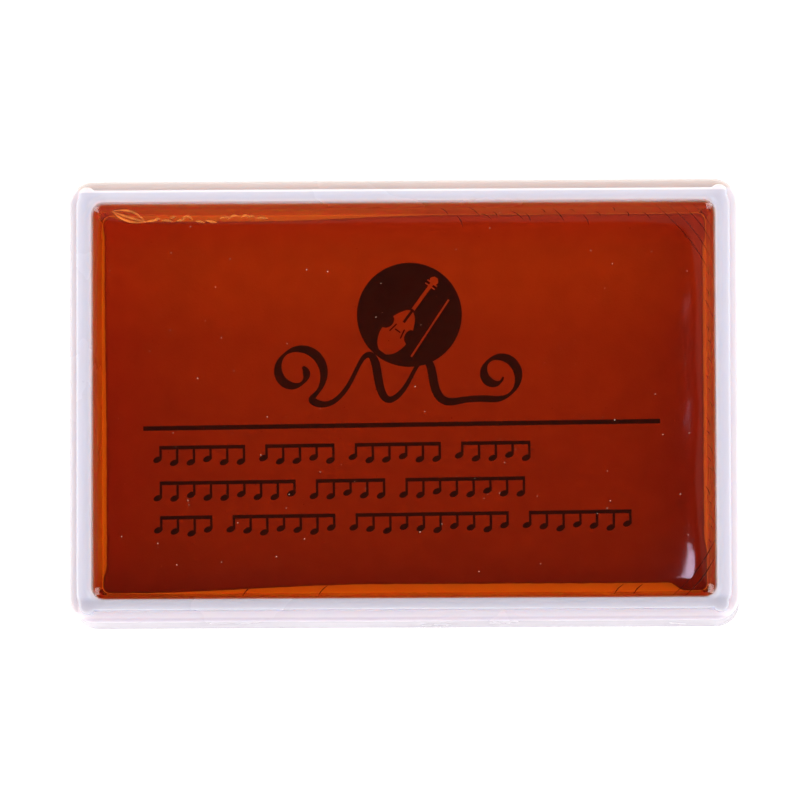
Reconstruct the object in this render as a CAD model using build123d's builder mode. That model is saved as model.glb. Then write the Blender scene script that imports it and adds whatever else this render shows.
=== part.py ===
"""Rosin cake: amber rosin cast over a printed card in a shallow, open plastic tray.

Millimetres. The origin is the centre of the underside, +X runs along the length, +Y across
the width and +Z up, out of the tray's open mouth.
"""

import os

from build123d import *

# Tray body, up to the shoulder that a lid's skirt stands on
tray_length = 62.0
tray_width = 41.0
tray_corner_radius = 2.2
foot_radius = 0.6
shoulder_height = 10.0
shoulder_edge_radius = 0.25

# Lip, the raised rim that a lid slides over, with a round knob at each corner to grip it
lip_length = 60.55
lip_width = 39.0
lip_height = 2.0
lip_corner_radius = 1.5
lip_outer_edge_radius = 0.2
lip_inner_edge_radius = 0.7
knob_length = 1.5
knob_width = 2.0
knob_radius = 0.7
knob_inset = 0.25
knob_stand_out = 0.3

# Cavity, with draft so that it opens upwards
floor_thickness = 1.2
mouth_length = 57.9
mouth_width = 36.95
cavity_corner_radius = 1.2
draft_angle = 1.0

# Round well in the underside, where the moulding gate was broken off
gate_well_radius = 3.0
gate_well_depth = 0.3
gate_stub_radius = 0.8
gate_stub_height = 0.2

# Card on the cavity's floor, and the rosin poured over it
card_thickness = 0.3
card_length = 57.3
card_width = 36.4
card_corner_radius = 1.2
mouth_to_rosin = 2.1

lip_top = shoulder_height + lip_height
card_top = floor_thickness + card_thickness
rosin_top = lip_top - mouth_to_rosin
knob_spacing_x = lip_length - 2 * knob_inset - knob_length
knob_spacing_y = lip_width + 2 * knob_stand_out - knob_width


with BuildPart() as tray:
    with BuildSketch():
        RectangleRounded(tray_length, tray_width, tray_corner_radius)
    extrude(amount=shoulder_height)
    fillet(tray.faces().sort_by(Axis.Z)[-1].edges(), shoulder_edge_radius)
    fillet(tray.faces().sort_by(Axis.Z)[0].edges(), foot_radius)

    with BuildSketch(Plane.XY.offset(shoulder_height)):
        RectangleRounded(lip_length, lip_width, lip_corner_radius)
        with GridLocations(knob_spacing_x, knob_spacing_y, 2, 2):
            RectangleRounded(knob_length, knob_width, knob_radius)
    extrude(amount=lip_height)

    # The cavity is cut from the mouth down, so its walls lean out as they rise.
    with BuildSketch(Plane.XY.offset(lip_top)):
        RectangleRounded(mouth_length, mouth_width, cavity_corner_radius)
    extrude(amount=-(lip_top - floor_thickness), taper=draft_angle, mode=Mode.SUBTRACT)
    rim = tray.faces().sort_by(Axis.Z)[-1]
    fillet(rim.inner_wires()[0].edges(), lip_inner_edge_radius)
    rim = tray.faces().sort_by(Axis.Z)[-1]
    fillet(rim.outer_wire().edges(), lip_outer_edge_radius)

    with BuildSketch():
        Circle(gate_well_radius)
        Circle(gate_stub_radius, mode=Mode.SUBTRACT)
    extrude(amount=gate_well_depth, mode=Mode.SUBTRACT)
    with BuildSketch():
        Circle(gate_stub_radius)
    extrude(amount=gate_well_depth - gate_stub_height, mode=Mode.SUBTRACT)
tray.part.label = "tray"


with BuildPart() as label_card:
    with BuildSketch(Plane.XY.offset(floor_thickness)):
        RectangleRounded(card_length, card_width, card_corner_radius)
    extrude(amount=card_thickness)
label_card.part.label = "label_card"


# The rosin takes the shape of the cavity up to its fill line, less the card under it.
with BuildPart() as rosin_cake:
    with BuildSketch(Plane.XY.offset(lip_top)):
        RectangleRounded(mouth_length, mouth_width, cavity_corner_radius)
    extrude(amount=-(lip_top - floor_thickness), taper=draft_angle)
    split(bisect_by=Plane.XY.offset(rosin_top), keep=Keep.BOTTOM)
    with BuildSketch(Plane.XY.offset(floor_thickness)):
        RectangleRounded(card_length, card_width, card_corner_radius)
    extrude(amount=card_thickness, mode=Mode.SUBTRACT)
rosin_cake.part.label = "rosin_cake"


os.makedirs("parts", exist_ok=True)
export_step(tray.part, "parts/tray.step")
export_step(label_card.part, "parts/label_card.step")
export_step(rosin_cake.part, "parts/rosin_cake.step")
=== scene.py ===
import math
import random

import bmesh
import bpy
from bpy.props import (
    FloatProperty,
    FloatVectorProperty,
    IntProperty,
    PointerProperty,
)
from mathutils import Matrix, Vector, noise


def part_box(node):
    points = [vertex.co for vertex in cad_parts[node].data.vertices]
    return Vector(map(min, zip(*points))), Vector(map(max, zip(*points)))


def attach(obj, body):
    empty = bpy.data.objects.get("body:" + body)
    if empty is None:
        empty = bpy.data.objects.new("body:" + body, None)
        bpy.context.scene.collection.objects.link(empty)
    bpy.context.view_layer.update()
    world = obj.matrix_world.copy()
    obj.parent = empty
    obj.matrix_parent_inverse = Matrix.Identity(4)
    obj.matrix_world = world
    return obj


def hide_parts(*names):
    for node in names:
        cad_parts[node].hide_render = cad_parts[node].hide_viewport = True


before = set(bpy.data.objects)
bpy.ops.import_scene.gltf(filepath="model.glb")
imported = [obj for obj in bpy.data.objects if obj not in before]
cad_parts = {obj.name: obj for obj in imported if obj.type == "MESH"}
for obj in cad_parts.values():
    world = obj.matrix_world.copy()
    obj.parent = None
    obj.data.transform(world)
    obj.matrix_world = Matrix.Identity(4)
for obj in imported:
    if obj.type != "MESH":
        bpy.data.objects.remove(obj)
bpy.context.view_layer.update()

bl_info = {
    "name": "Rosin Cake",
    "version": (1, 0, 0),
    "blender": (4, 5, 0),
    "location": "View3D > Sidebar > Rosin",
    "description": "A cake of amber rosin cast over a printed card in an open plastic tray",
    "category": "Add Mesh",
}

MM = 0.001
TRAY_LOW, TRAY_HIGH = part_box("tray")
ROSIN_LOW, ROSIN_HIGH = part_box("rosin_cake")
CARD_LOW, CARD_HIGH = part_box("label_card")


# Sizes and colours that a user would change


class TraySettings(bpy.types.PropertyGroup):
    """The white plastic tray."""

    colour: FloatVectorProperty(
        name="Plastic colour",
        description="Colour of the moulded plastic",
        subtype="COLOR",
        size=4,
        min=0.0,
        max=1.0,
        default=(0.79, 0.765, 0.83, 1.0),
    )
    # Painted shade: the lip gets a greyer, darker copy of the plastic colour.
    lip_shade_colour: FloatVectorProperty(
        name="Lip colour",
        description="Colour of the lip, a little greyer than the rest",
        subtype="COLOR",
        size=4,
        min=0.0,
        max=1.0,
        default=(0.58, 0.60, 0.70, 1.0),
    )
    # Painted shade and light: the +Y shoulder is darker, for the lip's shadow, and warmer, for
    # light coming through the plastic from the rosin.
    warm_shade_colour: FloatVectorProperty(
        name="Warm colour",
        description="Colour of the shoulder on the +Y side, a little warmer than the rest",
        subtype="COLOR",
        size=4,
        min=0.0,
        max=1.0,
        default=(0.71, 0.63, 0.61, 1.0),
    )
    # Painted shade: the outer walls get a much darker copy of the plastic colour.
    wall_shade_colour: FloatVectorProperty(
        name="Wall colour",
        description="Colour of the outer walls, below the shoulder",
        subtype="COLOR",
        size=4,
        min=0.0,
        max=1.0,
        default=(0.46, 0.43, 0.50, 1.0),
    )
    film_colour: FloatVectorProperty(
        name="Film colour",
        description="Colour of the cavity's walls near the fill line, under a film of old rosin",
        subtype="COLOR",
        size=4,
        min=0.0,
        max=1.0,
        default=(0.85, 0.45, 0.18, 1.0),
    )
    stain_colour: FloatVectorProperty(
        name="Stain colour",
        description="Colour of the cavity where hot rosin has stained it",
        subtype="COLOR",
        size=4,
        min=0.0,
        max=1.0,
        default=(0.97, 0.78, 0.6, 1.0),
    )
    roughness: FloatProperty(
        name="Gloss",
        description="Roughness of the clean plastic",
        subtype="FACTOR",
        min=0.0,
        max=1.0,
        default=0.22,
    )


class RosinSettings(bpy.types.PropertyGroup):
    """The cast block of rosin."""

    half_length: FloatProperty(
        name="Half length",
        description="From the middle of the block to its short side, at the fill line",
        unit="LENGTH",
        default=ROSIN_HIGH.x,
    )
    half_width: FloatProperty(
        name="Half width",
        description="From the middle of the block to its long side, at the fill line",
        unit="LENGTH",
        default=ROSIN_HIGH.y,
    )
    level: FloatProperty(
        name="Level",
        description="Height of the flat middle of the top face",
        unit="LENGTH",
        default=ROSIN_HIGH.z - 0.5 * MM,
    )
    corner_radius: FloatProperty(
        name="Corner radius",
        description="Radius of the block's upright corners",
        unit="LENGTH",
        default=1.16 * MM,
    )
    meniscus_rise: FloatProperty(
        name="Meniscus rise",
        description="How far the rosin climbs the wall of the tray",
        unit="LENGTH",
        default=0.4 * MM,
    )
    meniscus_reach: FloatProperty(
        name="Meniscus reach",
        description="Distance from the wall in which the climb dies away by a factor of e",
        unit="LENGTH",
        default=0.55 * MM,
    )
    dish_rise: FloatProperty(
        name="Dish rise",
        description="How far the slow dishing of the top face rises towards the walls",
        unit="LENGTH",
        default=0.2 * MM,
    )
    dish_reach: FloatProperty(
        name="Dish reach",
        description="Distance from the wall in which the dishing dies away by a factor of e",
        unit="LENGTH",
        default=4.5 * MM,
    )
    draft: FloatProperty(
        name="Draft",
        description="Lean of the block's sides",
        subtype="ANGLE",
        default=math.radians(1.0),
    )
    absorption: FloatVectorProperty(
        name="Absorption",
        description="Share of red, green and blue light taken off per metre",
        size=3,
        default=(4.0, 150.0, 650.0),
    )
    seed: IntProperty(
        name="Seed",
        description="Seed of the ripples, bubbles and cracks",
        default=7,
    )


class CardSettings(bpy.types.PropertyGroup):
    """The printed card under the rosin."""

    thickness: FloatProperty(
        name="Thickness",
        description="Thickness of the card",
        unit="LENGTH",
        default=CARD_HIGH.z - CARD_LOW.z,
    )
    buckle: FloatProperty(
        name="Buckle",
        description="How far the middle of the card stands up from the floor",
        unit="LENGTH",
        default=0.35 * MM,
    )
    colour: FloatVectorProperty(
        name="Card colour",
        description="Colour of the card, soaked with rosin",
        subtype="COLOR",
        size=4,
        min=0.0,
        max=1.0,
        default=(0.85, 0.75, 0.6, 1.0),
    )
    ink_colour: FloatVectorProperty(
        name="Ink colour",
        description="Colour of the print",
        subtype="COLOR",
        size=4,
        min=0.0,
        max=1.0,
        default=(0.014, 0.022, 0.02, 1.0),
    )


class StageSettings(bpy.types.PropertyGroup):
    """The floor, the lights and the camera."""

    camera_distance: FloatProperty(
        name="Camera distance",
        description="From the camera to the middle of the cake",
        unit="LENGTH",
        default=1.1,
    )
    camera_elevation: FloatProperty(
        name="Camera elevation",
        description="Angle of the view above the horizon, from the -Y side",
        subtype="ANGLE",
        default=math.radians(85.1),
    )
    focal_length: FloatProperty(
        name="Focal length",
        description="Focal length in millimetres",
        default=534.0,
    )


# Small helpers


def new_piece(name, mesh, material, body="root"):
    """Links a finished mesh as a piece that rides on a body of the frame."""
    piece = bpy.data.objects.new(name, mesh)
    bpy.context.scene.collection.objects.link(piece)
    piece.data.materials.clear()
    piece.data.materials.append(material)
    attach(piece, body)
    return piece


def mesh_from(name, shape, smooth=True):
    """Turns a finished bmesh into mesh data."""
    for face in shape.faces:
        face.smooth = smooth
    mesh = bpy.data.meshes.new(name)
    shape.to_mesh(mesh)
    shape.free()
    return mesh


def wobble(x, y, size, seed):
    """Smooth noise from -1 to 1 whose waves are about size across."""
    return noise.noise(Vector((x / size, y / size, seed * 7.31)))


def smooth_step(low, high, value):
    """0 below low, 1 above high, and an S-curve between."""
    share = min(max((value - low) / (high - low), 0.0), 1.0)
    return share * share * (3.0 - 2.0 * share)


# Materials


class Shader:
    """A material's node tree, with short calls that add and join nodes."""

    def __init__(self, name):
        self.material = bpy.data.materials.new(name)
        self.material.use_nodes = True
        self.tree = self.material.node_tree
        self.tree.nodes.clear()
        self.output = self.tree.nodes.new("ShaderNodeOutputMaterial")
        self.surface = self.tree.nodes.new("ShaderNodeBsdfPrincipled")
        self.join(self.surface, "BSDF", self.output, "Surface")
        self.place = self.tree.nodes.new("ShaderNodeTexCoord")

    def add(self, kind, **inputs):
        """A new node, with values for its sockets."""
        node = self.tree.nodes.new("ShaderNode" + kind)
        for key, value in inputs.items():
            node.inputs[key.replace("_", " ")].default_value = value
        return node

    def group(self, group, **inputs):
        """A new node that holds a shared group, with values for its sockets."""
        node = self.tree.nodes.new("ShaderNodeGroup")
        node.node_tree = group
        for key, value in inputs.items():
            node.inputs[key.replace("_", " ")].default_value = value
        return node

    def join(self, source, out, target, into):
        """Links a named output to a named input."""
        self.tree.links.new(source.outputs[out], target.inputs[into])

    def axes(self):
        """The X, Y and Z of a place on the object."""
        split = self.add("SeparateXYZ")
        self.join(self.place, "Object", split, "Vector")
        return split.outputs["X"], split.outputs["Y"], split.outputs["Z"]

    def ramp(self, value, low, high, start=0.0, end=1.0):
        """A mask that goes from start at low to end at high."""
        node = self.add("MapRange", From_Min=low, From_Max=high, To_Min=start, To_Max=end)
        self.tree.links.new(value, node.inputs["Value"])
        return node.outputs["Result"]

    def times(self, first, *others):
        """The product of masks."""
        for other in others:
            node = self.add("Math")
            node.operation = "MULTIPLY"
            self.tree.links.new(first, node.inputs[0])
            self.tree.links.new(other, node.inputs[1])
            first = node.outputs["Value"]
        return first

    def inside(self, x, y, half_x, half_y):
        """A mask of the places within a rectangle about the middle."""
        masks = []
        for value, half in ((x, half_x), (y, half_y)):
            size = self.add("Math")
            size.operation = "ABSOLUTE"
            self.tree.links.new(value, size.inputs[0])
            masks.append(self.ramp(size.outputs["Value"], half + 0.05 * MM, half - 0.05 * MM))
        return self.times(*masks)

    def mix(self, blend):
        """A colour mixer, with its two colour sockets and its result."""
        node = self.tree.nodes.new("ShaderNodeMix")
        node.data_type, node.blend_type = "RGBA", blend
        node.inputs["Factor"].default_value = 1.0
        colours = [socket for socket in node.inputs if socket.type == "RGBA"]
        result = next(socket for socket in node.outputs if socket.type == "RGBA")
        return node, colours[0], colours[1], result

    def set(self, **inputs):
        """Sets constants on the surface."""
        for key, value in inputs.items():
            self.surface.inputs[key.replace("_", " ")].default_value = value


def mottle_group():
    """Node group: two colours and two roughnesses mixed by cloudy noise, with a fine relief."""
    if "Mottle" in bpy.data.node_groups:
        return bpy.data.node_groups["Mottle"]
    tree = bpy.data.node_groups.new("Mottle", "ShaderNodeTree")
    face = tree.interface
    for name, kind, default in (
        ("Place", "NodeSocketVector", None),
        ("Light Colour", "NodeSocketColor", (1, 1, 1, 1)),
        ("Dark Colour", "NodeSocketColor", (0.8, 0.8, 0.8, 1)),
        ("Cloud Scale", "NodeSocketFloat", 100.0),
        ("Fine Scale", "NodeSocketFloat", 4000.0),
        ("Low Roughness", "NodeSocketFloat", 0.2),
        ("High Roughness", "NodeSocketFloat", 0.4),
    ):
        socket = face.new_socket(name, in_out="INPUT", socket_type=kind)
        if default is not None:
            socket.default_value = default
    face.new_socket("Colour", in_out="OUTPUT", socket_type="NodeSocketColor")
    face.new_socket("Roughness", in_out="OUTPUT", socket_type="NodeSocketFloat")
    face.new_socket("Relief", in_out="OUTPUT", socket_type="NodeSocketFloat")
    nodes, links = tree.nodes, tree.links
    into = nodes.new("NodeGroupInput")
    out = nodes.new("NodeGroupOutput")
    cloud = nodes.new("ShaderNodeTexNoise")
    cloud.inputs["Detail"].default_value = 4.0
    fine = nodes.new("ShaderNodeTexNoise")
    fine.inputs["Detail"].default_value = 2.0
    links.new(into.outputs["Place"], cloud.inputs["Vector"])
    links.new(into.outputs["Place"], fine.inputs["Vector"])
    links.new(into.outputs["Cloud Scale"], cloud.inputs["Scale"])
    links.new(into.outputs["Fine Scale"], fine.inputs["Scale"])
    mask = nodes.new("ShaderNodeMapRange")
    mask.inputs["From Min"].default_value = 0.35
    mask.inputs["From Max"].default_value = 0.65
    links.new(cloud.outputs["Fac"], mask.inputs["Value"])
    mix = nodes.new("ShaderNodeMix")
    mix.data_type = "RGBA"
    links.new(mask.outputs["Result"], mix.inputs["Factor"])
    links.new(into.outputs["Light Colour"], mix.inputs["A"])
    links.new(into.outputs["Dark Colour"], mix.inputs["B"])
    links.new(mix.outputs["Result"], out.inputs["Colour"])
    shine = nodes.new("ShaderNodeMapRange")
    shine.inputs["From Min"].default_value = 0.3
    shine.inputs["From Max"].default_value = 0.7
    links.new(cloud.outputs["Fac"], shine.inputs["Value"])
    links.new(into.outputs["Low Roughness"], shine.inputs["To Min"])
    links.new(into.outputs["High Roughness"], shine.inputs["To Max"])
    links.new(shine.outputs["Result"], out.inputs["Roughness"])
    links.new(fine.outputs["Fac"], out.inputs["Relief"])
    return tree


def shade(colour, factor):
    """The same colour, lighter or darker."""
    return (*[min(c * factor, 1.0) for c in colour[:3]], 1.0)


def mottled(shader, light, dark, cloud, fine, low, high, depth):
    """Feeds a shader's colour, roughness and bump from the mottle group."""
    pattern = shader.group(
        mottle_group(),
        Light_Colour=light,
        Dark_Colour=dark,
        Cloud_Scale=cloud,
        Fine_Scale=fine,
        Low_Roughness=low,
        High_Roughness=high,
    )
    shader.join(shader.place, "Object", pattern, "Place")
    shader.join(pattern, "Colour", shader.surface, "Base Color")
    shader.join(pattern, "Roughness", shader.surface, "Roughness")
    bump = shader.add("Bump", Strength=1.0, Distance=depth)
    shader.join(pattern, "Relief", bump, "Height")
    shader.join(bump, "Normal", shader.surface, "Normal")
    return pattern


def plastic_material(settings):
    """White moulded plastic with a fine mould texture, stains in the cavity, and painted shade and
    light zone by zone on the lip, walls and shoulder.
    """
    shader = Shader("white_plastic")
    colour = settings.colour
    pattern = mottled(
        shader,
        shade(colour, 1.01),
        shade(colour, 0.985),
        cloud=90.0,
        fine=2500.0,
        low=settings.roughness - 0.04,
        high=settings.roughness + 0.08,
        depth=0.0006 * MM,
    )
    shader.set(IOR=1.5, Subsurface_Weight=1.0, Subsurface_Scale=2.5 * MM)
    shader.set(Subsurface_Radius=(1.0, 0.8, 0.7))
    x, y, z = shader.axes()
    on_lip = shader.ramp(z, TRAY_HIGH.z - 0.45 * MM, TRAY_HIGH.z - 0.15 * MM)
    lip_x, lip_y = TRAY_HIGH.x - 0.65 * MM, TRAY_HIGH.y - 1.2 * MM
    above_shoulder = shader.ramp(z, TRAY_HIGH.z - 1.9 * MM, TRAY_HIGH.z - 1.8 * MM)
    near_side = shader.ramp(y, TRAY_LOW.y + 2.2 * MM, TRAY_LOW.y + 1.8 * MM)
    near_ledge = shader.ramp(y, TRAY_LOW.y + 1.0 * MM, TRAY_LOW.y + 0.9 * MM)
    near_edge = shader.ramp(y, TRAY_LOW.y + 0.45 * MM, TRAY_LOW.y + 0.25 * MM)
    far_edge = shader.ramp(y, TRAY_HIGH.y - 1.0 * MM, TRAY_HIGH.y - 0.7 * MM)
    below_shoulder = shader.ramp(z, TRAY_HIGH.z - 2.3 * MM, TRAY_HIGH.z - 2.7 * MM)
    left_edge = shader.ramp(x, TRAY_LOW.x + 0.8 * MM, TRAY_LOW.x + 0.7 * MM)
    in_lip = shader.inside(x, y, lip_x, lip_y)
    in_cavity = shader.inside(x, y, ROSIN_HIGH.x + 0.3 * MM, ROSIN_HIGH.y + 0.3 * MM)
    above_floor = shader.ramp(z, ROSIN_LOW.z - 0.4 * MM, ROSIN_LOW.z - 0.1 * MM)
    under_fill = shader.ramp(z, ROSIN_HIGH.z, ROSIN_HIGH.z - 0.6 * MM)
    high_up = shader.ramp(z, ROSIN_HIGH.z - 3.5 * MM, ROSIN_HIGH.z - 1.5 * MM)
    colour = pattern.outputs["Colour"]
    for masks, tint in (
        # Painted shade and warm light on the +Y shoulder.
        ((far_edge,), settings.warm_shade_colour),
        # Painted shade: a darker copy of the plastic colour on the left ledge.
        ((left_edge,), shade(settings.colour, 0.86)),
        # Painted light: a lighter copy of the plastic colour on the front ledge, where the lip
        # shades it.
        ((near_ledge,), shade(settings.colour, 1.07)),
        # Painted light: the front edge of the shoulder gets a lighter copy of the walls' shaded
        # colour.
        ((near_edge,), shade(settings.wall_shade_colour, 1.4)),
        # Painted shade on the outer walls below the shoulder.
        ((below_shoulder,), settings.wall_shade_colour),
        # Painted shade on the lip.
        ((on_lip, in_lip), settings.lip_shade_colour),
        # Painted shade, darker still, on the lip's near side.
        ((above_shoulder, near_side), shade(settings.lip_shade_colour, 0.84)),
        ((in_cavity, above_floor, under_fill), settings.stain_colour),
        ((in_cavity, high_up, under_fill), settings.film_colour),
    ):
        mix, first, second, result = shader.mix("MIX")
        shader.tree.links.new(shader.times(*masks), mix.inputs["Factor"])
        shader.tree.links.new(colour, first)
        second.default_value = tint
        colour = result
    shader.tree.links.new(colour, shader.surface.inputs["Base Color"])
    return shader.material


def rosin_material(settings):
    """Clear dark amber: a polished surface over a body that takes up light with depth."""
    shader = Shader("amber_rosin")
    mottled(
        shader,
        (1.0, 1.0, 1.0, 1.0),
        (0.97, 0.95, 0.92, 1.0),
        cloud=60.0,
        fine=900.0,
        low=0.01,
        high=0.05,
        depth=0.002 * MM,
    )
    shader.set(Transmission_Weight=1.0, IOR=1.53)
    density = 1000.0
    body = shader.add("VolumeAbsorption", Density=density)
    body.inputs["Color"].default_value = (
        *[1.0 - a / density for a in settings.absorption],
        1.0,
    )
    shader.join(body, "Volume", shader.output, "Volume")
    return shader.material


def crack_material():
    """Shadowed inside of a crack."""
    shader = Shader("crack_shadow")
    dark = (0.09, 0.012, 0.004, 1.0)
    mottled(
        shader,
        dark,
        shade(dark, 0.6),
        cloud=900.0,
        fine=6000.0,
        low=0.4,
        high=0.6,
        depth=0.003 * MM,
    )
    return shader.material


def chip_material():
    """Broken face inside the rosin, whose weak glow stands in for light it throws back."""
    shader = Shader("chipped_face")
    bright = (1.0, 0.3, 0.05, 1.0)
    pattern = mottled(
        shader,
        bright,
        shade(bright, 0.55),
        cloud=1200.0,
        fine=6000.0,
        low=0.15,
        high=0.35,
        depth=0.006 * MM,
    )
    shader.join(pattern, "Colour", shader.surface, "Emission Color")
    shader.set(Emission_Strength=0.4)
    return shader.material


def dust_material():
    """Rosin powder, pale and matt."""
    shader = Shader("rosin_powder")
    pale = (0.85, 0.62, 0.5, 1.0)
    mottled(
        shader,
        pale,
        shade(pale, 0.7),
        cloud=2000.0,
        fine=9000.0,
        low=0.7,
        high=0.9,
        depth=0.004 * MM,
    )
    return shader.material


def card_material(settings):
    """Card soaked with rosin and fibrous, with painted light that makes it paler towards +Y and at
    both short ends.
    """
    shader = Shader("soaked_card")
    pattern = mottled(
        shader,
        shade(settings.colour, 1.03),
        shade(settings.colour, 0.97),
        cloud=420.0,
        fine=6000.0,
        low=0.6,
        high=0.8,
        depth=0.01 * MM,
    )
    x, y, _ = shader.axes()
    # Painted light and shade: the card's colour runs from darker at -Y to paler at +Y, standing in
    # for light that falls off across the cake.
    light_ramp = shader.tree.nodes.new("ShaderNodeValToRGB")
    stops = light_ramp.color_ramp.elements
    stops[0].position, stops[0].color = 0.0, (0.44, 0.41, 0.35, 1)
    stops[1].position, stops[1].color = 1.0, (1.0, 1.0, 1.0, 1)
    for position, red, green, blue in (
        (0.09, 0.51, 0.47, 0.4),
        (0.317, 0.515, 0.42, 0.4),
        (0.45, 0.55, 0.47, 0.43),
        (0.67, 0.6, 0.55, 0.5),
        (0.9, 0.84, 1.0, 1.0),
    ):
        stops.new(position).color = (red, green, blue, 1)
    span = shader.ramp(y, CARD_LOW.y, CARD_HIGH.y)
    shader.tree.links.new(span, light_ramp.inputs["Fac"])
    # Painted light: paler towards both short ends, to undo the shade of the walls there.
    left_gain, right_gain = 1.25, 1.2
    left = shader.ramp(x, -22.0 * MM, -26.0 * MM, 1.0, left_gain)
    right = shader.ramp(x, 26.2 * MM, 27.2 * MM, 1.0, right_gain)
    gain = shader.times(left, right)
    both = shader.add("VectorMath")
    both.operation = "SCALE"
    shader.join(light_ramp, "Color", both, "Vector")
    shader.tree.links.new(gain, both.inputs["Scale"])
    _, first, second, result = shader.mix("MULTIPLY")
    shader.tree.links.new(pattern.outputs["Colour"], first)
    shader.tree.links.new(both.outputs["Vector"], second)
    shader.tree.links.new(result, shader.surface.inputs["Base Color"])
    return shader.material


def ink_material(settings):
    """Black ink, a little thin in places."""
    shader = Shader("print_ink")
    mottled(
        shader,
        settings.ink_colour,
        shade(settings.ink_colour, 1.8),
        cloud=500.0,
        fine=5000.0,
        low=0.5,
        high=0.7,
        depth=0.004 * MM,
    )
    return shader.material


def floor_material():
    """Matt white sweep, with a weak glow that keeps it white."""
    shader = Shader("studio_floor")
    shader.set(Base_Color=(0.9, 0.9, 0.9, 1.0), Roughness=0.9)
    shader.set(Specular_IOR_Level=0.1, Emission_Color=(1.0, 1.0, 1.0, 1.0), Emission_Strength=0.4)
    return shader.material


# Rosin


def spread(share):
    """Crowds evenly spaced places from -1 to 1 towards both ends."""
    return 0.88 * math.sin(share * math.pi / 2) + 0.12 * share


def meniscus(x, y, rosin):
    """Height that the rosin climbs above its level at a place."""
    reach = rosin.meniscus_reach
    to_side = max(rosin.half_length - abs(x), 0.0)
    to_long = max(rosin.half_width - abs(y), 0.0)
    climb = math.exp(-to_side / reach) + math.exp(-to_long / reach)
    slow = rosin.dish_reach
    uphill = 2.2 if x > 0.0 else 1.0
    dish = uphill * math.exp(-to_side / slow) + math.exp(-to_long / slow)
    uneven = 1.0 + 0.12 * wobble(x, y, 9.0 * MM, rosin.seed)
    return (rosin.meniscus_rise * climb + rosin.dish_rise * dish) * uneven


def rosin_height(x, y, rosin):
    """Height of the block's top face at a place."""
    ripple = 0.008 * MM * wobble(x, y, 14.0 * MM, rosin.seed + 1)
    return rosin.level + meniscus(x, y, rosin) + ripple


def rounded_place(u, v, half_x, half_y, radius):
    """Maps a place in the square from -1 to 1 into a rectangle with rounded corners."""
    x, y = half_x * u, half_y * v
    over_x, over_y = abs(x) - (half_x - radius), abs(y) - (half_y - radius)
    if over_x > 0.0 and over_y > 0.0:
        scale = max(over_x, over_y) / math.hypot(over_x, over_y)
        x = math.copysign(half_x - radius + over_x * scale, x)
        y = math.copysign(half_y - radius + over_y * scale, y)
    return x, y


def rosin_block(rosin):
    """The cast block: a fine top face with its meniscus, drafted sides and a flat underside."""
    shape = bmesh.new()
    bmesh.ops.create_grid(shape, x_segments=300, y_segments=210, size=1.0)
    contact = 0.02 * MM
    for vert in shape.verts:
        x, y = rounded_place(
            spread(vert.co.x),
            spread(vert.co.y),
            rosin.half_length + contact,
            rosin.half_width + contact,
            rosin.corner_radius,
        )
        vert.co = (x, y, rosin_height(x, y, rosin))
    rim = [edge for edge in shape.edges if edge.is_boundary]
    floor = ROSIN_LOW.z - contact
    steps = 6
    for step in range(steps):
        made = bmesh.ops.extrude_edge_only(shape, edges=rim)["geom"]
        verts = [item for item in made if isinstance(item, bmesh.types.BMVert)]
        rim = [item for item in made if isinstance(item, bmesh.types.BMEdge)]
        for vert in verts:
            drop = (vert.co.z - floor) / (steps - step)
            inward = drop * math.tan(rosin.draft)
            vert.co.x -= math.copysign(inward, vert.co.x)
            vert.co.y -= math.copysign(inward, vert.co.y)
            vert.co.z -= drop
    bmesh.ops.edgeloop_fill(shape, edges=rim)
    bmesh.ops.recalc_face_normals(shape, faces=shape.faces)
    add_bubbles(shape, rosin)
    return shape


def add_bubbles(shape, rosin):
    """Small round voids in the block, whose faces look into the void."""
    rng = random.Random(rosin.seed)
    for _ in range(90):
        x = rng.uniform(-0.95, 0.95) * rosin.half_length
        y = rng.uniform(-0.93, 0.93) * rosin.half_width
        z = rosin.level - rng.uniform(0.2, 2.5) * MM
        made = bmesh.ops.create_icosphere(
            shape,
            subdivisions=2,
            radius=rng.uniform(0.02, 0.05) * MM,
            matrix=Matrix.Translation((x, y, z)),
        )
        faces = list({face for vert in made["verts"] for face in vert.link_faces})
        bmesh.ops.reverse_faces(shape, faces=faces)


def bowed(start, end, bow):
    """A path from start to end that bows to its left."""
    along = Vector(end) - Vector(start)
    across = Vector((-along.y, along.x)).normalized()
    return lambda share: Vector(start) + along * share + across * bow * math.sin(math.pi * share)


def hang_blade(shape, path, rosin, depth, lean, sink):
    """Adds a thin tapered blade that hangs from a path just under the rosin's top face."""
    made = bmesh.ops.create_grid(shape, x_segments=14, y_segments=2, size=1.0)
    ahead = path(1.0) - path(0.0)
    across = Vector((-ahead.y, ahead.x)).normalized()
    for vert in made["verts"]:
        share = (vert.co.x + 1.0) / 2.0
        drop = depth * (1.0 - vert.co.y) / 2.0 * (0.15 + 0.85 * math.sin(math.pi * share))
        at = path(share) + across * drop * math.tan(lean)
        vert.co = (at.x, at.y, rosin_height(at.x, at.y, rosin) - sink - drop)
    faces = list({face for vert in made["verts"] for face in vert.link_faces})
    bmesh.ops.solidify(shape, geom=faces, thickness=0.02 * MM)


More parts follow.
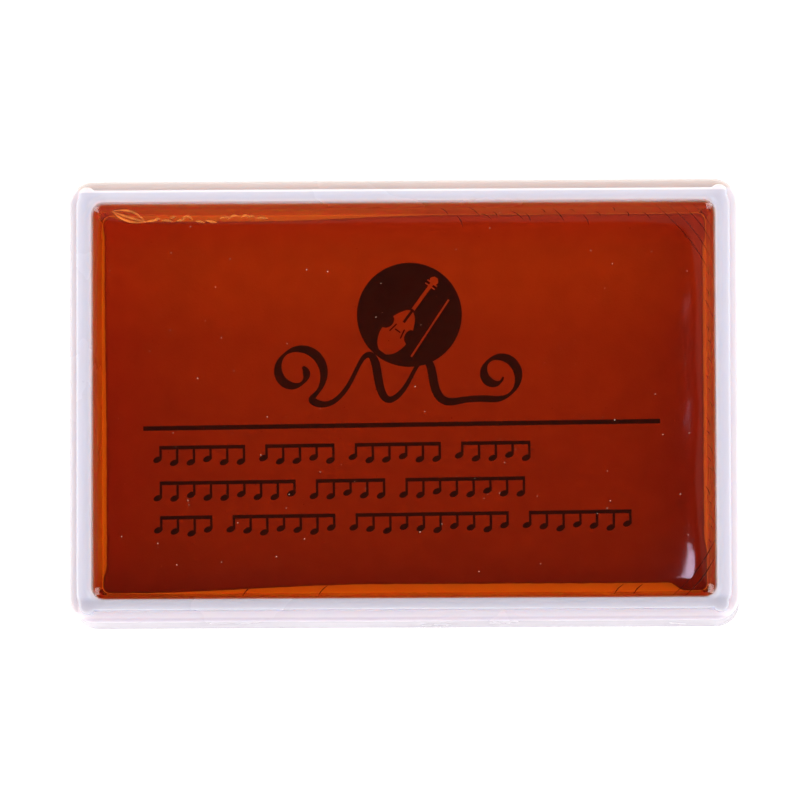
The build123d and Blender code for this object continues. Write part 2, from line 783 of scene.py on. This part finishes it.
def crack_paths(rosin):
    """Paths of the cracks: arcs across two corners, and short ones along two sides."""
    rng = random.Random(rosin.seed + 2)
    side, long_side = rosin.half_length, rosin.half_width
    for up, gaps in ((1, (1.2, 2.2, 3.3, 4.5, 5.7)), (-1, (2.9, 4.1))):
        for gap in gaps:
            start = (side - gap * MM, up * (long_side - 0.15 * MM))
            end = (side - 0.1 * MM, up * (long_side - 1.3 * gap * MM))
            yield bowed(start, end, up * 0.09 * gap * MM)
    x = 3.4 * MM
    while x < side - 6.0 * MM:
        angle = math.radians(rng.uniform(-62.0, -15.0))
        length = rng.uniform(0.5, 1.9) * MM
        start = (x, long_side - rng.uniform(0.4, 1.3) * MM)
        end = (start[0] + length * math.cos(angle), start[1] + length * math.sin(angle))
        yield bowed(start, end, 0.08 * MM)
        x += rng.uniform(1.0, 1.6) * MM
    y = long_side - 6.5 * MM
    while y > -long_side + 5.0 * MM:
        angle = math.radians(rng.uniform(-70.0, -50.0))
        length = rng.uniform(0.4, 1.1) * MM
        start = (side - rng.uniform(0.6, 1.0) * MM, y)
        end = (start[0] + length * math.cos(angle), start[1] + length * math.sin(angle))
        yield bowed(start, end, 0.05 * MM)
        y -= rng.uniform(0.9, 1.7) * MM
    for x in (19.4 * MM, 21.2 * MM, -8.0 * MM, -15.0 * MM):
        start = (x, -long_side + 0.3 * MM)
        yield bowed(start, (x + 0.9 * MM, start[1] + 1.0 * MM), 0.05 * MM)


def cracks(rosin):
    """Fine cracks that run in from the edges of the block."""
    shape = bmesh.new()
    for path in crack_paths(rosin):
        hang_blade(shape, path, rosin, depth=0.4 * MM, lean=math.radians(14), sink=0.02 * MM)
    bmesh.ops.recalc_face_normals(shape, faces=shape.faces)
    return shape


def chip_paths(rosin):
    """Paths of the bright cracks inside one corner: a leaf, its vein and a ragged tail."""
    rng = random.Random(rosin.seed + 5)
    tip, tail = (-27.1 * MM, 17.75 * MM), (-23.9 * MM, 16.75 * MM)
    for bow in (-0.5, -0.12, 0.45):
        yield bowed(tip, tail, bow * MM)
    x = tail[0]
    while x < -13.0 * MM:
        start = (x, (16.75 + rng.uniform(-0.15, 0.3) + 0.04 * (x / MM + 24.0)) * MM)
        length = rng.uniform(0.5, 1.4) * MM
        rise = rng.uniform(-0.25, 0.35) * MM
        yield bowed(start, (x + length, start[1] + rise), rng.uniform(-0.15, 0.15) * MM)
        x += length * rng.uniform(0.6, 1.3)


def chips(rosin):
    """Bright cracks inside one corner of the block."""
    shape = bmesh.new()
    for path in chip_paths(rosin):
        hang_blade(shape, path, rosin, depth=0.11 * MM, lean=math.radians(64), sink=0.05 * MM)
    bmesh.ops.recalc_face_normals(shape, faces=shape.faces)
    return shape


def dust(rosin):
    """Pale flecks lying on the top face."""
    rng = random.Random(rosin.seed + 9)
    shape = bmesh.new()
    for _ in range(110):
        x = rng.uniform(-0.97, 0.97) * rosin.half_length
        y = rng.uniform(-0.97, 0.97) * rosin.half_width
        size = rng.uniform(0.025, 0.075) * MM
        turn = Matrix.Rotation(rng.uniform(0.0, math.pi), 4, "Z")
        flat = Matrix.Diagonal((1.0, rng.uniform(0.3, 1.0), 0.4, 1.0))
        place = Matrix.Translation((x, y, rosin_height(x, y, rosin)))
        bmesh.ops.create_icosphere(shape, subdivisions=1, radius=size, matrix=place @ turn @ flat)
    return shape


# Card and its print


def card_height(x, y, card):
    """Height of the card's upper face, which is buckled under the rosin."""
    u, v = x / CARD_HIGH.x, y / CARD_HIGH.y
    dome = (1.0 - u * u) * (1.0 - v * v)
    return CARD_HIGH.z + card.buckle * dome


def draw_in(side, along):
    """How far an edge of the card has drawn in from the wall, at a share along it."""
    if side == "left":
        return 0.5 * MM * (0.5 + 0.5 * smooth_step(0.8, -0.3, along)) * ends(along, 0.86, -0.82)
    if side == "right":
        return 0.42 * MM * ends(along, 0.8, -0.68)
    if side == "bottom":
        return 1.28 * MM * smooth_step(-0.97, -0.1, along) * smooth_step(0.915, 0.86, along)
    return 0.7 * MM * smooth_step(0.2, -0.5, along) * smooth_step(-0.98, -0.9, along)


def ends(along, high, low):
    """1 between two places along an edge, falling off to 0 just past them."""
    return smooth_step(high + 0.08, high, along) * smooth_step(low - 0.08, low, along)


def card_place(u, v):
    """Maps the square from -1 to 1 into the card's outline, whose edges draw in."""
    x, y = rounded_place(u, v, CARD_HIGH.x, CARD_HIGH.y, 1.2 * MM)
    ragged = 0.06 * MM * wobble(x, y, 1.3 * MM, 3)
    draw_x = (draw_in("right" if u > 0 else "left", v) + ragged) * abs(u) ** 3
    draw_y = (draw_in("top" if v > 0 else "bottom", u) + ragged) * abs(v) ** 3
    return x - math.copysign(draw_x, u), y - math.copysign(draw_y, v)


def card_sheet(card):
    """The card: a thin buckled sheet."""
    shape = bmesh.new()
    bmesh.ops.create_grid(shape, x_segments=150, y_segments=90, size=1.0)
    for vert in shape.verts:
        x, y = card_place(vert.co.x, vert.co.y)
        vert.co = (x, y, card_height(x, y, card))
    made = bmesh.ops.extrude_face_region(shape, geom=list(shape.faces))["geom"]
    lower = [item for item in made if isinstance(item, bmesh.types.BMVert)]
    bmesh.ops.translate(shape, verts=lower, vec=(0, 0, -card.thickness))
    bmesh.ops.recalc_face_normals(shape, faces=shape.faces)
    return shape


def lay_on_card(shape, card, turn=math.radians(0.55), lift=0.02 * MM):
    """Turns flat marks with the print and wraps them onto the buckled card."""
    bmesh.ops.rotate(shape, verts=shape.verts, cent=(0, 0, 0), matrix=Matrix.Rotation(turn, 3, "Z"))
    for vert in shape.verts:
        base = card_height(vert.co.x, vert.co.y, card)
        vert.co.z = base + (lift if vert.co.z > 0 else -lift)


def flat_stroke(shape, stroke):
    """Adds a flat four-sided mark, cut across so that it can bend."""
    start, end, half = stroke
    along = Vector(end) - Vector(start)
    cuts = max(2, int(along.length / MM))
    made = bmesh.ops.create_grid(shape, x_segments=cuts, y_segments=1, size=0.5)
    verts = made["verts"]
    turn = Matrix.Rotation(math.atan2(along.y, along.x), 4, "Z")
    size = Matrix.Diagonal((along.length, 2 * half, 1.0, 1.0))
    middle = Matrix.Translation(((start[0] + end[0]) / 2, (start[1] + end[1]) / 2, 0.0))
    bmesh.ops.transform(shape, matrix=middle @ turn @ size, verts=verts)
    return verts


def flat_oval(shape, centre, half_long, half_short, angle, segments=20):
    """Adds a flat oval mark."""
    made = bmesh.ops.create_circle(shape, cap_ends=True, segments=segments, radius=1.0)
    verts = made["verts"]
    turn = Matrix.Rotation(angle, 4, "Z")
    size = Matrix.Diagonal((half_long, half_short, 1.0, 1.0))
    bmesh.ops.transform(shape, matrix=Matrix.Translation((*centre, 0.0)) @ turn @ size, verts=verts)
    return verts


def give_depth(shape):
    """Gives flat marks the thickness of a film of ink."""
    made = bmesh.ops.extrude_face_region(shape, geom=list(shape.faces))["geom"]
    upper = [item for item in made if isinstance(item, bmesh.types.BMVert)]
    bmesh.ops.translate(shape, verts=upper, vec=(0, 0, 0.01 * MM))
    bmesh.ops.recalc_face_normals(shape, faces=shape.faces)


def note_rows(card):
    """Rows of beamed notes, the lines of small marks at the foot of the card."""
    shape = bmesh.new()
    pitch = 1.56 * MM
    rows = (
        (-4.45 * MM, -22.9 * MM, (6, 5, 6, 5)),
        (-7.78 * MM, -22.9 * MM, (9, 5, 8)),
        (-11.02 * MM, -22.9 * MM, (4, 7, 10, 7)),
    )
    height = 1.95 * MM
    for y, x, groups in rows:
        for count in groups:
            first = x
            for note in range(count):
                swing = 1 + math.sin(2.1 * note + 90 * y / MM)
                low = y - height / 2 + 0.28 * MM + 0.2 * MM * swing
                flat_oval(shape, (x - 0.3 * MM, low), 0.42 * MM, 0.27 * MM, math.radians(24))
                flat_stroke(shape, ((x, low), (x, y + height / 2), 0.11 * MM))
                x += pitch
            beam, last = y + 0.42 * height, x - pitch
            flat_stroke(shape, ((first - 0.11 * MM, beam), (last + 0.11 * MM, beam), 0.17 * MM))
            x += 0.35 * pitch
    give_depth(shape)
    lay_on_card(shape, card)
    return shape


def rule_line(card):
    """The long rule across the card."""
    shape = bmesh.new()
    y = -1.81 * MM
    flat_stroke(shape, ((-24.5 * MM, y), (23.8 * MM, y), 0.21 * MM))
    give_depth(shape)
    lay_on_card(shape, card)
    return shape


ROUNDEL_PLACE = (0.4 * MM, 8.49 * MM)
VIOLIN_LENGTH = 8.6 * MM
VIOLIN_TURN = Matrix.Translation((*ROUNDEL_PLACE, 0.0)) @ Matrix.Rotation(math.radians(54), 4, "Z")


def violin_half_width(share):
    """Half width of a violin's outline at a share of its length, from the button up."""
    body = 0.56
    if share < body:
        at = share / body
        rounding = math.sqrt(max(math.sin(math.pi * min(0.02 + at, 1.0)), 0.0))
        half = 1.55 * MM * rounding * (1.0 - 0.26 * at)
        if 0.40 < at < 0.68:
            half *= 1.0 - 0.42 * math.sin(math.pi * (at - 0.40) / 0.28) ** 0.45
        return half
    neck = (share - body) / (1.0 - body)
    scroll = 0.26 * MM * math.sin(math.pi * (neck - 0.8) / 0.2) if neck > 0.8 else 0.0
    return 0.17 * MM + scroll


def violin(card):
    """The violin and its bow, left clear in the roundel."""
    shape = bmesh.new()
    made = bmesh.ops.create_grid(shape, x_segments=120, y_segments=4, size=1.0)
    for vert in made["verts"]:
        share = (vert.co.x + 1.0) / 2.0
        vert.co = ((share - 0.5) * VIOLIN_LENGTH, vert.co.y * violin_half_width(share), 0.0)
    flat_stroke(shape, ((-3.1 * MM, -2.45 * MM), (3.3 * MM, -2.15 * MM), 0.09 * MM))
    for peg in (3.3, 3.65):
        flat_stroke(shape, ((peg * MM, -0.55 * MM), ((peg + 0.001) * MM, 0.55 * MM), 0.07 * MM))
    bmesh.ops.transform(shape, matrix=VIOLIN_TURN, verts=shape.verts)
    give_depth(shape)
    lay_on_card(shape, card, turn=0.0, lift=0.05 * MM)
    return shape


def violin_details(card):
    """The sound holes, bridge and fingerboard printed on the violin."""
    shape = bmesh.new()
    for side in (-1, 1):
        low, high = (-2.3 * MM, side * 0.62 * MM), (-1.4 * MM, side * 0.46 * MM)
        flat_stroke(shape, (low, high, 0.06 * MM))
    flat_stroke(shape, ((-1.851 * MM, -0.3 * MM), (-1.85 * MM, 0.3 * MM), 0.06 * MM))
    flat_stroke(shape, ((-0.9 * MM, 0.0), (0.6 * MM, 0.0), 0.12 * MM))
    bmesh.ops.transform(shape, matrix=VIOLIN_TURN, verts=shape.verts)
    give_depth(shape)
    lay_on_card(shape, card, turn=0.0, lift=0.08 * MM)
    return shape


def roundel(card):
    """The solid disc of the emblem."""
    shape = bmesh.new()
    bmesh.ops.create_circle(shape, cap_ends=True, segments=96, radius=4.89 * MM)
    for _ in range(5):
        middle = max(shape.faces, key=lambda face: len(face.verts))
        bmesh.ops.inset_region(shape, faces=[middle], thickness=0.8 * MM)
    bmesh.ops.translate(shape, verts=shape.verts, vec=(*ROUNDEL_PLACE, 0))
    give_depth(shape)
    lay_on_card(shape, card, turn=0.0)
    return shape


def pen_stroke(name, points, pen=0.46 * MM, slant=math.radians(40)):
    """A flattened stroke of a broad pen along a smooth curve."""
    curve = bpy.data.curves.new(name, "CURVE")
    curve.dimensions = "3D"
    curve.bevel_depth = 1.0
    curve.bevel_resolution = 3
    curve.resolution_u = 10
    curve.use_fill_caps = True
    spline = curve.splines.new("NURBS")
    spline.points.add(len(points) - 1)
    count = len(points)
    for index, point in enumerate(points):
        before, after = points[max(index - 1, 0)], points[min(index + 1, count - 1)]
        angle = math.atan2(after[1] - before[1], after[0] - before[0])
        broad = 0.22 + 0.78 * abs(math.sin(angle - slant))
        taper = min(1.0, 0.25 + 0.35 * min(index, count - 1 - index))
        spline.points[index].co = (*point, 0.0, 1.0)
        spline.points[index].radius = pen * broad * taper
    spline.order_u = 4
    spline.use_endpoint_u = True
    holder = bpy.data.objects.new(name, curve)
    bpy.context.scene.collection.objects.link(holder)
    bpy.context.view_layer.update()
    mesh = bpy.data.meshes.new_from_object(holder)
    bpy.data.objects.remove(holder)
    bpy.data.curves.remove(curve)
    return mesh


def volute(centre, radius, start, turns, sense, steps=22, tightness=0.75):
    """Points that wind in towards a centre, like the scroll of a violin."""
    points = []
    for step in range(steps + 1):
        share = step / steps
        angle = start + sense * share * turns * 2 * math.pi
        reach = radius * (1.0 - tightness * share)
        points.append((centre[0] + reach * math.cos(angle), centre[1] + reach * math.sin(angle)))
    return points


def flourish(card):
    """A pen flourish of scrolls and a running wave."""
    left = volute((-9.4 * MM, 0.9 * MM), 2.9 * MM, math.radians(-70), 1.3, 1)
    wave = [
        (-6.4 * MM, -2.6 * MM),
        (-4.4 * MM, -0.6 * MM),
        (-3.2 * MM, 2.6 * MM),
        (-2.0 * MM, 2.4 * MM),
        (-1.8 * MM, -0.8 * MM),
        (-0.9 * MM, -2.4 * MM),
        (0.9 * MM, -0.8 * MM),
        (2.0 * MM, 2.0 * MM),
        (3.2 * MM, 1.8 * MM),
        (3.3 * MM, -0.9 * MM),
        (4.3 * MM, -2.4 * MM),
        (6.2 * MM, -1.9 * MM),
    ]
    right = volute((9.3 * MM, 0.4 * MM), 2.5 * MM, math.radians(-115), 1.25, 1)
    points = list(reversed(left)) + wave + right
    shape = bmesh.new()
    shape.from_mesh(pen_stroke("flourish_stroke", points))
    for vert in shape.verts:
        vert.co.z *= 0.02
    bmesh.ops.translate(shape, verts=shape.verts, vec=(-0.7 * MM, 2.4 * MM, 0))
    lay_on_card(shape, card)
    return shape


# Stage


def upright(back):
    """Turn of a camera or lamp that looks down its own -Z, with its top towards +Y."""
    right = Vector((0.0, 1.0, 0.0)).cross(back).normalized()
    return Matrix((right, back.cross(right), back)).transposed()


def softbox(name, azimuth, elevation, size, radiance, tint, roll=0.0, distance=1.3):
    """A soft light of a length and a width, which faces the cake."""
    light = bpy.data.lights.new(name, "AREA")
    light.shape = "RECTANGLE"
    light.size, light.size_y = size
    light.energy = radiance * math.pi * size[0] * size[1]
    light.color = tint
    lamp = bpy.data.objects.new(name, light)
    bpy.context.scene.collection.objects.link(lamp)
    a, e = math.radians(azimuth), math.radians(elevation)
    back = Vector((math.sin(a) * math.cos(e), -math.cos(a) * math.cos(e), math.sin(e)))
    lamp.location = back * distance
    lamp.rotation_euler = (upright(back) @ Matrix.Rotation(roll, 3, "Z")).to_euler()
    return lamp


def studio_world():
    """A pale tent round the stage, with a dark opening overhead and bright low sides."""
    world = bpy.data.worlds.new("studio")
    bpy.context.scene.world = world
    world.use_nodes = True
    tree = world.node_tree
    tree.nodes.clear()
    out = tree.nodes.new("ShaderNodeOutputWorld")
    back = tree.nodes.new("ShaderNodeBackground")
    ramp = tree.nodes.new("ShaderNodeValToRGB")
    split = tree.nodes.new("ShaderNodeSeparateXYZ")
    place = tree.nodes.new("ShaderNodeTexCoord")
    tree.links.new(place.outputs["Generated"], split.inputs["Vector"])
    tree.links.new(split.outputs["Z"], ramp.inputs["Fac"])
    tree.links.new(back.outputs["Background"], out.inputs["Surface"])
    stops = ramp.color_ramp.elements
    stops[0].position, stops[0].color = 0.3, (1.3, 1.3, 1.3, 1)
    stops[1].position, stops[1].color = 0.42, (0.34, 0.28, 0.25, 1)
    opening = tree.nodes.new("ShaderNodeVectorMath")
    opening.operation = "DOT_PRODUCT"
    lean_x, lean_y = math.radians(12.5), math.radians(30.2)
    opening.inputs[1].default_value = Vector((math.tan(lean_x), math.tan(lean_y), 1.0)).normalized()
    tree.links.new(place.outputs["Generated"], opening.inputs[0])
    dark = tree.nodes.new("ShaderNodeMapRange")
    outer_edge, inner_edge = math.radians(33.5), math.radians(32.9)
    dark.inputs["From Min"].default_value = math.cos(outer_edge)
    dark.inputs["From Max"].default_value = math.cos(inner_edge)
    tree.links.new(opening.outputs["Value"], dark.inputs["Value"])
    mix = tree.nodes.new("ShaderNodeMix")
    mix.data_type = "RGBA"
    tree.links.new(dark.outputs["Result"], mix.inputs["Factor"])
    colours = [socket for socket in mix.inputs if socket.type == "RGBA"]
    tree.links.new(ramp.outputs["Color"], colours[0])
    colours[1].default_value = (0.052, 0.052, 0.054, 1)
    result = next(socket for socket in mix.outputs if socket.type == "RGBA")
    tree.links.new(result, back.inputs["Color"])


def stage_floor():
    """A broad round floor."""
    shape = bmesh.new()
    bmesh.ops.create_circle(shape, cap_ends=True, segments=96, radius=2.5)
    floor = bpy.data.objects.new("studio_floor", mesh_from("studio_floor", shape, smooth=False))
    bpy.context.scene.collection.objects.link(floor)
    floor.data.materials.append(floor_material())


def camera(stage):
    """A long lens almost straight above the cake."""
    lens = bpy.data.cameras.new("camera")
    lens.lens = stage.focal_length
    lens.sensor_width = 36.0
    lens.clip_end = 10.0
    view = bpy.data.objects.new("camera", lens)
    bpy.context.scene.collection.objects.link(view)
    side = math.radians(1.5)
    tilt = math.pi / 2 - stage.camera_elevation
    back = Vector((math.sin(side), -math.sin(tilt), math.cos(tilt) * math.cos(side))).normalized()
    aim = Vector((-0.35 * MM, 0.03 * MM, TRAY_HIGH.z - 2 * MM))
    view.location = aim + back * stage.camera_distance
    roll = math.radians(0.16)
    up = Vector((math.sin(roll), math.cos(roll), 0.0))
    right = up.cross(back).normalized()
    view.rotation_euler = Matrix((right, back.cross(right), back)).transposed().to_euler()
    bpy.context.scene.camera = view


# Operators


class ROSIN_OT_tray(bpy.types.Operator):
    """Gives the tray its white plastic"""

    bl_idname = "rosin.tray"
    bl_label = "Tray"

    def execute(self, context):
        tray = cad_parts["tray"]
        tray.data.materials.clear()
        tray.data.materials.append(plastic_material(context.scene.rosin_tray))
        return {"FINISHED"}


class ROSIN_OT_block(bpy.types.Operator):
    """Casts the block of rosin"""

    bl_idname = "rosin.block"
    bl_label = "Rosin block"

    def execute(self, context):
        rosin = context.scene.rosin_cast
        mesh = mesh_from("cast_rosin", rosin_block(rosin))
        piece = new_piece("cast_rosin", mesh, rosin_material(rosin))
        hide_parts("rosin_cake")
        return {"FINISHED"}


class ROSIN_OT_flaws(bpy.types.Operator):
    """Adds the cracks, the chips and the powder"""

    bl_idname = "rosin.flaws"
    bl_label = "Cracks and powder"

    def execute(self, context):
        rosin = context.scene.rosin_cast
        flaws = {
            "cracks": (cracks, crack_material()),
            "chips": (chips, chip_material()),
            "powder": (dust, dust_material()),
        }
        for name, (make, material) in flaws.items():
            new_piece(name, mesh_from(name, make(rosin)), material)
        return {"FINISHED"}


class ROSIN_OT_card(bpy.types.Operator):
    """Lays the buckled card in the tray"""

    bl_idname = "rosin.card"
    bl_label = "Card"

    def execute(self, context):
        card = context.scene.rosin_card
        mesh = mesh_from("buckled_card", card_sheet(card))
        piece = new_piece("buckled_card", mesh, card_material(card))
        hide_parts("label_card")
        return {"FINISHED"}


class ROSIN_OT_print(bpy.types.Operator):
    """Prints the marks on the card"""

    bl_idname = "rosin.print"
    bl_label = "Print"

    def execute(self, context):
        card = context.scene.rosin_card
        ink = ink_material(card)
        marks = {
            "print_note_rows": note_rows,
            "print_rule": rule_line,
            "print_roundel": roundel,
            "print_flourish": flourish,
            "print_violin_details": violin_details,
        }
        for name, make in marks.items():
            new_piece(name, mesh_from(name, make(card), smooth=False), ink)
        clear = bpy.data.materials["soaked_card"]
        mesh = mesh_from("print_violin", violin(card), smooth=False)
        new_piece("print_violin", mesh, clear)
        return {"FINISHED"}


class ROSIN_OT_stage(bpy.types.Operator):
    """Sets up the floor, the lights and the camera"""

    bl_idname = "rosin.stage"
    bl_label = "Stage"

    def execute(self, context):
        scene = context.scene
        scene.view_settings.view_transform = "Standard"
        studio_world()
        stage_floor()
        cool, warm = (0.97, 0.97, 1.0), (1.0, 0.98, 0.96)
        for name, azimuth, tint in (
            ("front_left", -52, cool),
            ("front_right", 52, cool),
            ("back_left", -128, warm),
            ("back_right", 128, warm),
        ):
            softbox("softbox_" + name, azimuth, 42, (0.55, 0.55), 5.1, tint)
        high = (0.83, 0.72, 1.0)
        softbox("softbox_high", -144.8, 80.0, (0.05, 0.107), 10.0, high, math.radians(-15))
        camera(scene.rosin_stage)
        return {"FINISHED"}


class ROSIN_PT_panel(bpy.types.Panel):
    """Lists the pieces of the rosin cake"""

    bl_idname = "ROSIN_PT_panel"
    bl_label = "Rosin Cake"
    bl_space_type = "VIEW_3D"
    bl_region_type = "UI"
    bl_category = "Rosin"

    def draw(self, context):
        for step in STEPS:
            self.layout.operator(step.bl_idname)


STEPS = (
    ROSIN_OT_tray,
    ROSIN_OT_block,
    ROSIN_OT_flaws,
    ROSIN_OT_card,
    ROSIN_OT_print,
    ROSIN_OT_stage,
)
SETTINGS = {
    "rosin_tray": TraySettings,
    "rosin_cast": RosinSettings,
    "rosin_card": CardSettings,
    "rosin_stage": StageSettings,
}


def register():
    for group in SETTINGS.values():
        bpy.utils.register_class(group)
    for name, group in SETTINGS.items():
        setattr(bpy.types.Scene, name, PointerProperty(type=group))
    for step in (*STEPS, ROSIN_PT_panel):
        bpy.utils.register_class(step)


def unregister():
    for step in reversed((*STEPS, ROSIN_PT_panel)):
        bpy.utils.unregister_class(step)
    for name in SETTINGS:
        delattr(bpy.types.Scene, name)
    for group in reversed(SETTINGS.values()):
        bpy.utils.unregister_class(group)


def main():
    """Builds the whole cake."""
    register()
    bpy.ops.rosin.tray()
    bpy.ops.rosin.block()
    bpy.ops.rosin.flaws()
    bpy.ops.rosin.card()
    bpy.ops.rosin.print()
    bpy.ops.rosin.stage()


if __name__ == "__main__":
    main()
